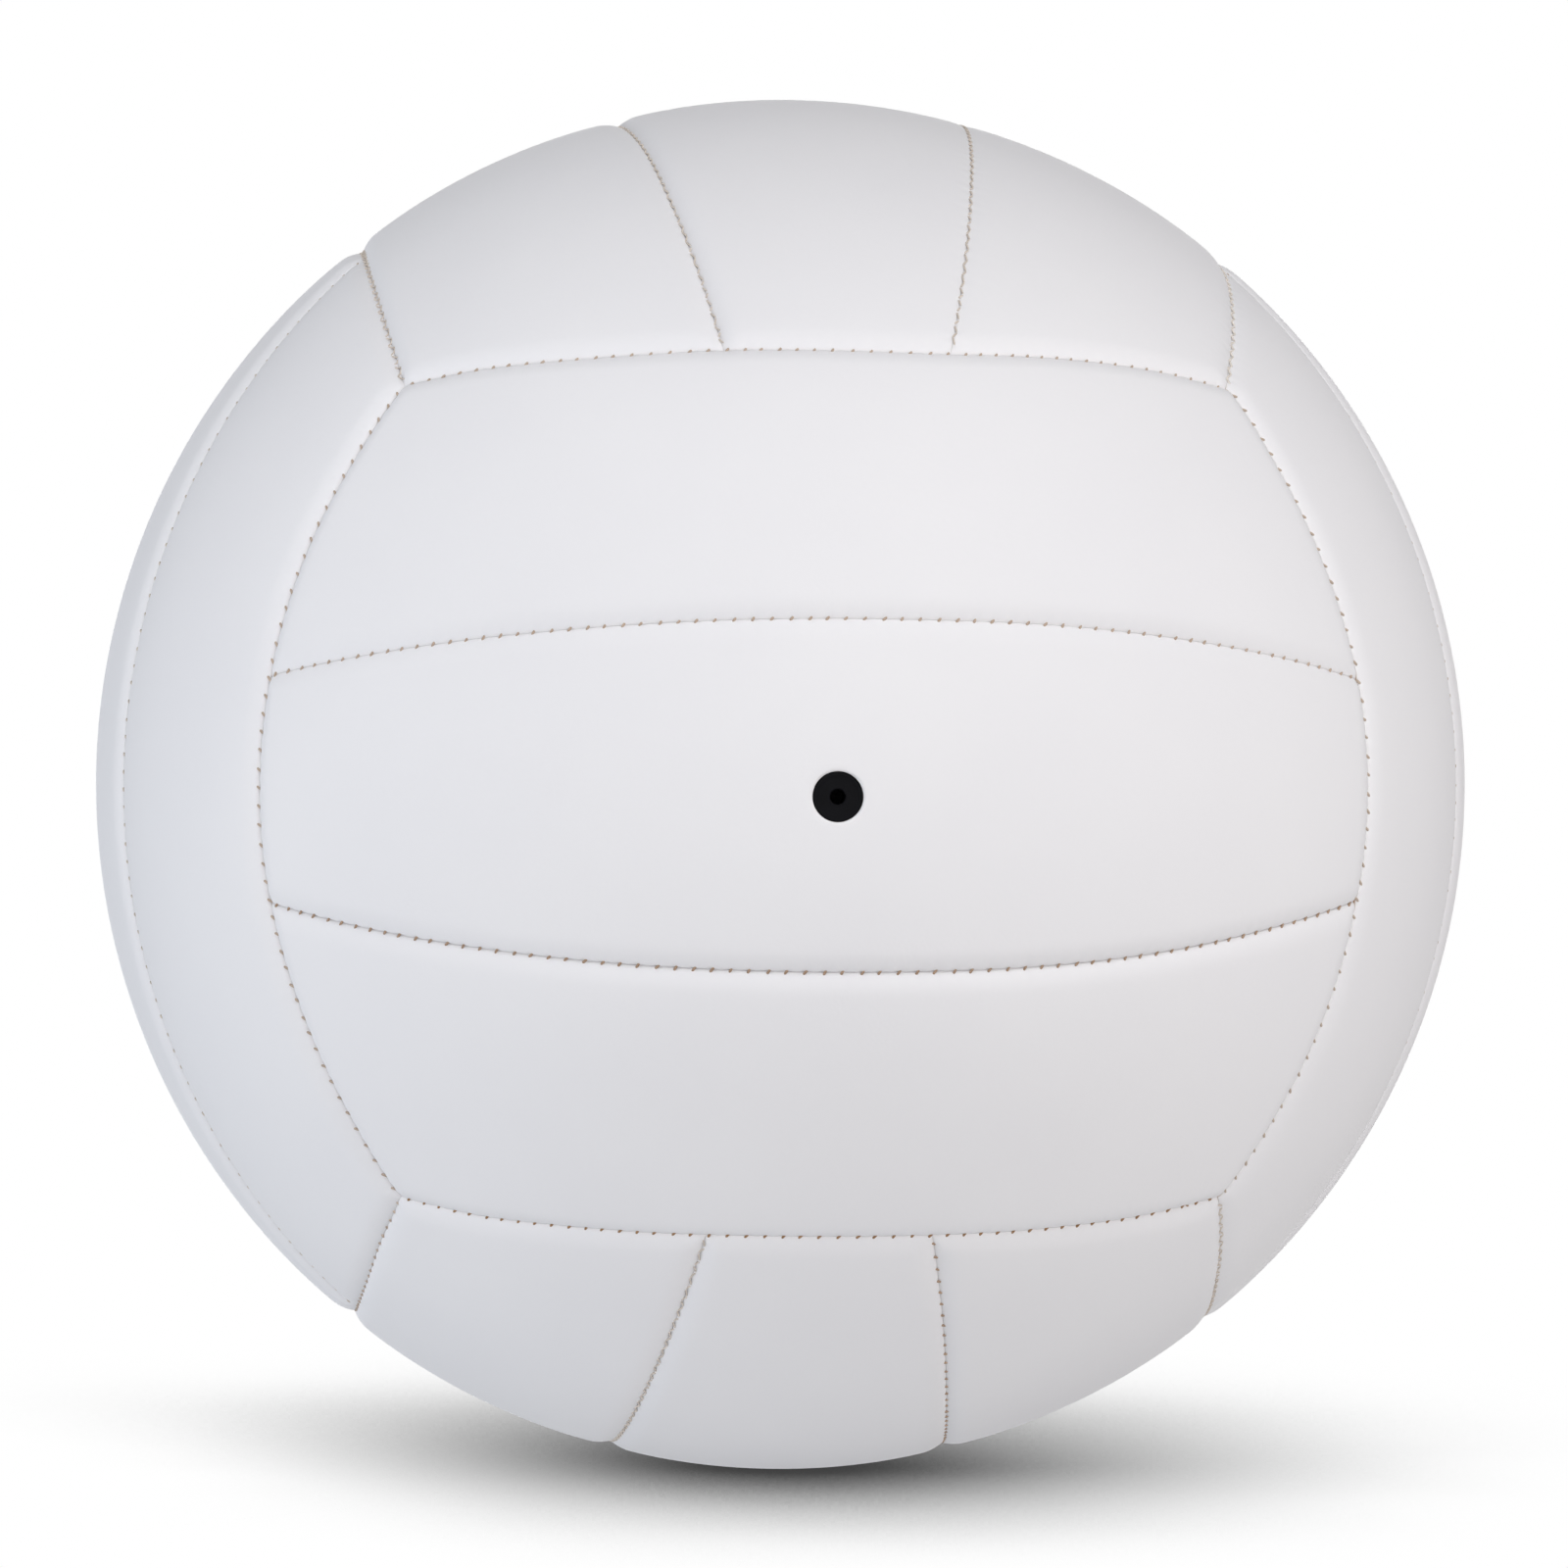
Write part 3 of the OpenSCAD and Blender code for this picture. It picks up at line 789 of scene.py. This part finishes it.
def pu_leather():
    """Smooth white polyurethane leather, cast on cloth and embossed with a very fine grain: matt, with a soft
    sheen, with painted shade that greys it within half a millimetre of a seam, and tan cloth where it is cut."""
    material, tree, place = new_material("pu_leather_embossed_white")
    cloud = node(tree, "ShaderNodeTexNoise", {"Vector": place, "Scale": per_metre(30), "Detail": 2.0})
    tone = node(tree, "ShaderNodeMix", {
        "Factor": cloud.outputs["Fac"], "A": linear("E3E2E6"), "B": linear("E8E7EA"),
    }, data_type="RGBA")
    seam_mm = node(tree, "ShaderNodeAttribute", attribute_name="seam_mm").outputs["Fac"]
    # Painted shade in the folds of the seams: within half a millimetre of a seam the colour is mixed towards
    # a warm grey.
    painted_crease_shade = node(tree, "ShaderNodeMapRange", {
        "Value": seam_mm, "From Min": 0.0, "From Max": 0.5, "To Min": 0.14, "To Max": 0.0,
    }, interpolation_type="SMOOTHSTEP")
    tone_with_painted_shade = node(tree, "ShaderNodeMix", {
        "Factor": painted_crease_shade.outputs["Result"], "A": tone.outputs["Result"], "B": linear("D5D0C8"),
    }, data_type="RGBA")
    cut = node(tree, "ShaderNodeAttribute", attribute_name="cut").outputs["Fac"]
    colour = node(tree, "ShaderNodeMix", {
        "Factor": cut, "A": tone_with_painted_shade.outputs["Result"], "B": linear("A88663"),
    }, data_type="RGBA")
    # The real grain is finer than the picture can show, so it is drawn coarser.
    grain = node(tree, "ShaderNodeTexVoronoi", {
        "Vector": place, "Scale": per_metre(0.75), "Smoothness": 0.6,
    }, feature="SMOOTH_F1")
    fine = node(tree, "ShaderNodeTexNoise", {"Vector": place, "Scale": per_metre(0.5), "Detail": 3.0})
    height = node(tree, "ShaderNodeMath", {
        0: grain.outputs["Distance"], 1: fine.outputs["Fac"],
    }, operation="ADD")
    bump = node(tree, "ShaderNodeBump", {
        "Height": height.outputs["Value"], "Strength": 0.22, "Distance": 0.05 * MM,
    })
    rough = node(tree, "ShaderNodeMapRange", {
        "Value": fine.outputs["Fac"], "From Min": 0.3, "From Max": 0.7, "To Min": 0.62, "To Max": 0.72,
    })
    shader = node(tree, "ShaderNodeBsdfPrincipled", {
        "Base Color": colour.outputs["Result"], "Roughness": rough.outputs["Result"], "IOR": 1.45,
        "Normal": bump.outputs["Normal"],
    })
    node(tree, "ShaderNodeOutputMaterial", {"Surface": shader.outputs["BSDF"]})
    return material


def moulded_rubber(name, colour, pale, roughness):
    """Moulded rubber: nearly black, with a faint bloom on it and a skin as uneven as its mould. Carbon black
    and bloom take most of its gloss, which would else mirror the white studio."""
    material, tree, place = new_material(name)
    bloom = node(tree, "ShaderNodeTexNoise", {"Vector": place, "Scale": per_metre(2.4), "Detail": 4.0})
    tone = node(tree, "ShaderNodeMix", {
        "Factor": bloom.outputs["Fac"], "A": linear(colour), "B": linear(pale),
    }, data_type="RGBA")
    skin = node(tree, "ShaderNodeTexNoise", {"Vector": place, "Scale": per_metre(0.4), "Detail": 3.0})
    bump = node(tree, "ShaderNodeBump", {
        "Height": skin.outputs["Fac"], "Strength": 0.3, "Distance": 0.03 * MM,
    })
    shader = node(tree, "ShaderNodeBsdfPrincipled", {
        "Base Color": tone.outputs["Result"], "Roughness": roughness, "IOR": 1.52, "Specular IOR Level": 0.06,
        "Normal": bump.outputs["Normal"],
    })
    node(tree, "ShaderNodeOutputMaterial", {"Surface": shader.outputs["BSDF"]})
    return material


def waxed_thread():
    """Twisted waxed thread: brown, darker between its fibres, and paler where the leather's white coat has
    rubbed off on it."""
    material, tree, place = new_material("waxed_thread_twisted_tan")
    fibre = node(tree, "ShaderNodeTexNoise", {"Vector": place, "Scale": per_metre(0.25), "Detail": 2.0})
    tone = node(tree, "ShaderNodeMix", {
        "Factor": fibre.outputs["Fac"], "A": linear("7E5C3E"), "B": linear("A88560"),
    }, data_type="RGBA")
    pale = node(tree, "ShaderNodeAttribute", attribute_name="pale").outputs["Fac"]
    coated = node(tree, "ShaderNodeMix", {
        "Factor": pale, "A": tone.outputs["Result"], "B": linear("E2DDD6"),
    }, data_type="RGBA")
    bump = node(tree, "ShaderNodeBump", {
        "Height": fibre.outputs["Fac"], "Strength": 0.4, "Distance": 0.05 * MM,
    })
    shader = node(tree, "ShaderNodeBsdfPrincipled", {
        "Base Color": coated.outputs["Result"], "Roughness": 0.7, "IOR": 1.5,
        "Normal": bump.outputs["Normal"],
    })
    node(tree, "ShaderNodeOutputMaterial", {"Surface": shader.outputs["BSDF"]})
    return material


def foamed_pad():
    """Closed-cell foam: cream, with cells of half a millimetre."""
    material, tree, place = new_material("closed_cell_foam")
    cell = node(tree, "ShaderNodeTexVoronoi", {"Vector": place, "Scale": per_metre(0.5)})
    tone = node(tree, "ShaderNodeMix", {
        "Factor": cell.outputs["Distance"], "A": linear("D9CFB8"), "B": linear("EFE8D6"),
    }, data_type="RGBA")
    bump = node(tree, "ShaderNodeBump", {
        "Height": cell.outputs["Distance"], "Strength": 0.5, "Distance": 0.1 * MM,
    })
    shader = node(tree, "ShaderNodeBsdfPrincipled", {
        "Base Color": tone.outputs["Result"], "Roughness": 0.9, "Normal": bump.outputs["Normal"],
    })
    node(tree, "ShaderNodeOutputMaterial", {"Surface": shader.outputs["BSDF"]})
    return material


def plain_weave():
    """Cotton cloth in a plain weave of 0.6 mm, on the piece's own UV map in metres: the product of two
    sines."""
    material, tree, _ = new_material("cotton_cloth_plain_weave")
    uv = node(tree, "ShaderNodeUVMap", uv_map="UVMap").outputs["UV"]
    split = node(tree, "ShaderNodeSeparateXYZ", {"Vector": uv})
    waves = []
    for axis in ("X", "Y"):
        turns = node(tree, "ShaderNodeMath", {0: split.outputs[axis], 1: 2 * math.pi * per_metre(0.6)},
                     operation="MULTIPLY")
        waves.append(node(tree, "ShaderNodeMath", {0: turns.outputs["Value"]}, operation="SINE"))
    weave = node(tree, "ShaderNodeMath", {0: waves[0].outputs["Value"], 1: waves[1].outputs["Value"]},
                 operation="MULTIPLY")
    share = node(tree, "ShaderNodeMath", {
        0: weave.outputs["Value"], 1: 0.5, 2: 0.5,
    }, operation="MULTIPLY_ADD")
    tone = node(tree, "ShaderNodeMix", {
        "Factor": share.outputs["Value"], "A": linear("A8895F"), "B": linear("C9AE86"),
    }, data_type="RGBA")
    bump = node(tree, "ShaderNodeBump", {
        "Height": share.outputs["Value"], "Strength": 0.5, "Distance": 0.1 * MM,
    })
    shader = node(tree, "ShaderNodeBsdfPrincipled", {
        "Base Color": tone.outputs["Result"], "Roughness": 0.9, "Normal": bump.outputs["Normal"],
    })
    node(tree, "ShaderNodeOutputMaterial", {"Surface": shader.outputs["BSDF"]})
    return material


# Pieces

LEATHER = pu_leather()
THREAD = waxed_thread()
FOAM = foamed_pad()
CLOTH = plain_weave()
HEAD_RUBBER = moulded_rubber("valve_rubber_moulded", "0B0B0D", "121216", 0.55)
PLUG_RUBBER = moulded_rubber("plug_rubber_moulded", "101012", "1C1C1F", 0.7)
BLADDER_RUBBER = moulded_rubber("butyl_rubber_dipped", "1B1C1E", "2A2B2E", 0.6)

for number, (face, degrees, strip_names) in enumerate(FACES):
    for strip, strip_name in zip(STRIPS, strip_names):
        label = f"{face}_{strip_name}"
        holed = face == "front" and strip == 0
        seed = 7 * number + strip + 2
        panel = cover_panel(face, degrees, strip, strip_name, seed, holed)
        finish_piece(panel, LEATHER, "cover_leather", f"cover_{label}")
        pad, _ = pad_layer(f"foam_pad_{label}", face, degrees, strip, seed, None, FOAM_INNER_R, holed)
        finish_piece(pad, FOAM, "foam", f"foam_{label}")
        cloth, area = pad_layer(
            f"backing_cloth_{label}", face, degrees, strip, seed, BACKING_OUTER_R, BACKING_INNER_R, holed
        )
        finish_piece(cloth, CLOTH, "backing_cloth", f"backing_{label}")

for kind, slope in (("strip", STRIP_SLOPE), ("end", EDGE_SLOPE)):
    label = "edge" if kind == "end" else kind
    keys = [key for key in SEAMS if key[1] == kind]
    run = stitches(f"{label}_seam_stitches", keys, slope)
    finish_piece(run, THREAD, "seam_thread", f"{label}_seam_thread")

finish_piece(valve_housing(), HEAD_RUBBER, "valve_rubber", "valve_housing")

for name, material in (("bladder", BLADDER_RUBBER), ("valve_plug", PLUG_RUBBER)):
    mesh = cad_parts[name].data
    mesh.materials.clear()
    mesh.materials.append(material)


# Stage

# The floor's width and how far its shadow looks for the ball, in metres. Then what the open share is
# multiplied by, what is added to it, and the darkest level of the shadow.
BACKDROP = 20.0
SHADOW_REACH = 0.6
SHADOW_GAIN = 1.61
SHADOW_FLOOR = -0.03
SHADOW_DARKEST = 0.052
# The shadow counts how much each place on the floor sees, past the ball, of three half skies that lean far
# over: how far, how many rays it takes, where each leans to, along X and Y, and the power that its open share
# is raised to.
SKY_LEAN = math.radians(80)
SKY_SAMPLES = 24
SKIES = [(0, -1, 0.88), (0, 1, 0.48), (-1, 0, 0.13)]


def seen_rays(tree):
    """1 for the rays that see the surroundings as they look: the camera's, glossy and transmission rays."""
    path = node(tree, "ShaderNodeLightPath")
    seen = path.outputs["Is Camera Ray"]
    for kind in ("Is Glossy Ray", "Is Transmission Ray"):
        either = node(tree, "ShaderNodeMath", {0: seen, 1: path.outputs[kind]}, operation="MAXIMUM")
        seen = either.outputs["Value"]
    return seen


def studio_floor():
    """A white table top. The camera sees it white, darker where the ball hides the light from it. Other rays
    pass to the white surroundings, as on a table that is lit from below."""
    half = BACKDROP / 2 / MM
    low = -BALL_R
    corners = [(-half, -half, low), (half, -half, low), (half, half, low), (-half, half, low)]
    floor = make_mesh("studio_floor", corners, [(0, 1, 2, 3)])
    material = bpy.data.materials.new("studio_floor_white")
    material.use_nodes = True
    tree = material.node_tree
    tree.nodes.clear()
    above = (1 + math.cos(SKY_LEAN)) / 2
    product = 1.0
    for x, y, power in SKIES:
        aim = node(tree, "ShaderNodeCombineXYZ", {
            "X": x * math.sin(SKY_LEAN), "Y": y * math.sin(SKY_LEAN), "Z": math.cos(SKY_LEAN),
        })
        shade = node(tree, "ShaderNodeAmbientOcclusion", {
            "Distance": SHADOW_REACH, "Normal": aim.outputs["Vector"],
        }, samples=SKY_SAMPLES)
        # The part of the half sky that lies under the floor is always open, so it's left out.
        share = node(tree, "ShaderNodeMapRange", {"Value": shade.outputs["AO"], "From Min": 1 - above})
        bent = node(tree, "ShaderNodeMath", {0: share.outputs["Result"], 1: power}, operation="POWER")
        product = node(tree, "ShaderNodeMath", {0: bent.outputs["Value"], 1: product},
                       operation="MULTIPLY").outputs["Value"]
    gain = node(tree, "ShaderNodeMath", {
        0: product, 1: SHADOW_GAIN, 2: SHADOW_FLOOR,
    }, operation="MULTIPLY_ADD")
    level = node(tree, "ShaderNodeClamp", {"Value": gain.outputs["Value"], "Min": SHADOW_DARKEST, "Max": 1.0})
    seen = node(tree, "ShaderNodeEmission", {"Color": linear("FFFFFF"), "Strength": level.outputs["Result"]})
    unseen = node(tree, "ShaderNodeBsdfTransparent")
    rays = seen_rays(tree)
    mixed = node(tree, "ShaderNodeMixShader", {
        0: rays, 1: unseen.outputs["BSDF"], 2: seen.outputs["Emission"],
    })
    node(tree, "ShaderNodeOutputMaterial", {"Surface": mixed.outputs["Shader"]})
    floor.data.materials.append(material)


# The light of a white studio: azimuth from the camera's side to the right, elevation, how tightly the light
# keeps to that direction, its strength, and its tint in red, green and blue. The last one is for the back.
PLAIN, WARM, COOL = (1.0, 1, 0.997), (1.085, 1, 0.93), (0.95, 1, 1.05)
SOFT_LIGHTS = [
    (0, 0, 20, 6.42, PLAIN),
    (0, 60, 20, 3.32, PLAIN),
    (60, 45, 20, 2.82, PLAIN),
    (60, 0, 20, 0.85, WARM),
    (60, -20, 20, 1.08, WARM),
    (-90, 0, 8, 1.62, COOL),
    (-90, -20, 8, 1.24, COOL),
    (-120, -45, 8, 1.02, COOL),
    (120, -45, 8, 2.10, PLAIN),
    (175, 0, 60, 17.0, PLAIN),
]


def surroundings():
    """Soft white light: a lobe for each soft light, which is the cosine of the angle to its direction raised
    to a power. The camera and reflections see plain white."""
    world = bpy.data.worlds.new("studio_light")
    bpy.context.scene.world = world
    world.use_nodes = True
    tree = world.node_tree
    tree.nodes.clear()
    rays = seen_rays(tree)
    look = node(tree, "ShaderNodeTexCoord").outputs["Generated"]
    total = (0.0, 0.0, 0.0)
    for azimuth, elevation, power, strength, tint in SOFT_LIGHTS:
        a, e = math.radians(azimuth), math.radians(elevation)
        aim = (math.sin(a) * math.cos(e), -math.cos(a) * math.cos(e), math.sin(e))
        facing = node(tree, "ShaderNodeVectorMath", {0: look, 1: aim}, operation="DOT_PRODUCT")
        facing = node(tree, "ShaderNodeMath", {0: facing.outputs["Value"], 1: 0.0}, operation="MAXIMUM")
        lobe = node(tree, "ShaderNodeMath", {0: facing.outputs["Value"], 1: float(power)}, operation="POWER")
        colour = tuple(strength * part for part in tint)
        total = node(tree, "ShaderNodeVectorMath", {0: lobe.outputs["Value"], 1: colour, 2: total},
                     operation="MULTIPLY_ADD").outputs["Vector"]
    soft = node(tree, "ShaderNodeBackground", {"Color": total, "Strength": 1.0})
    white = node(tree, "ShaderNodeBackground", {"Color": linear("FFFFFF"), "Strength": 1.0})
    mixed = node(tree, "ShaderNodeMixShader", {
        0: rays, 1: soft.outputs["Background"], 2: white.outputs["Background"],
    })
    node(tree, "ShaderNodeOutputWorld", {"Surface": mixed.outputs["Shader"]})


def to_quaternion(right, up, back):
    """Rotation whose X, Y and Z axes are the three given directions."""
    return Matrix(np.stack([right, up, back], axis=1).tolist()).to_quaternion()


def camera():
    """The photograph's camera: turned about the ball's upright axis, then tipped and rolled, at a distance of
    12.88 ball radii, with a focal length of 8971 pixels in a picture of 1600, a little off its centre."""
    yaw, pitch, roll = 4.488, 0.927, 0.574
    distance, focal, picture = 12.88 * BALL_R * MM, 8971, 1600
    centre_x, centre_y = 796.38, 800.38
    right, forward, up = turn((0, roll, 0)) @ turn((pitch, 0, 0)) @ turn((0, 0, yaw))
    data = bpy.data.cameras.new("studio_camera")
    data.sensor_width = 36.0
    data.lens = focal * data.sensor_width / picture
    data.shift_x = (picture / 2 - centre_x) / picture
    data.shift_y = (centre_y - picture / 2) / picture
    data.clip_start, data.clip_end = 0.1, 100
    obj = bpy.data.objects.new("studio_camera", data)
    obj.location = -forward * distance
    obj.rotation_mode = "QUATERNION"
    obj.rotation_quaternion = to_quaternion(right, up, -forward)
    bpy.context.scene.collection.objects.link(obj)
    bpy.context.scene.camera = obj


studio_floor()
surroundings()
camera()
bpy.context.scene.view_settings.view_transform = "Standard"
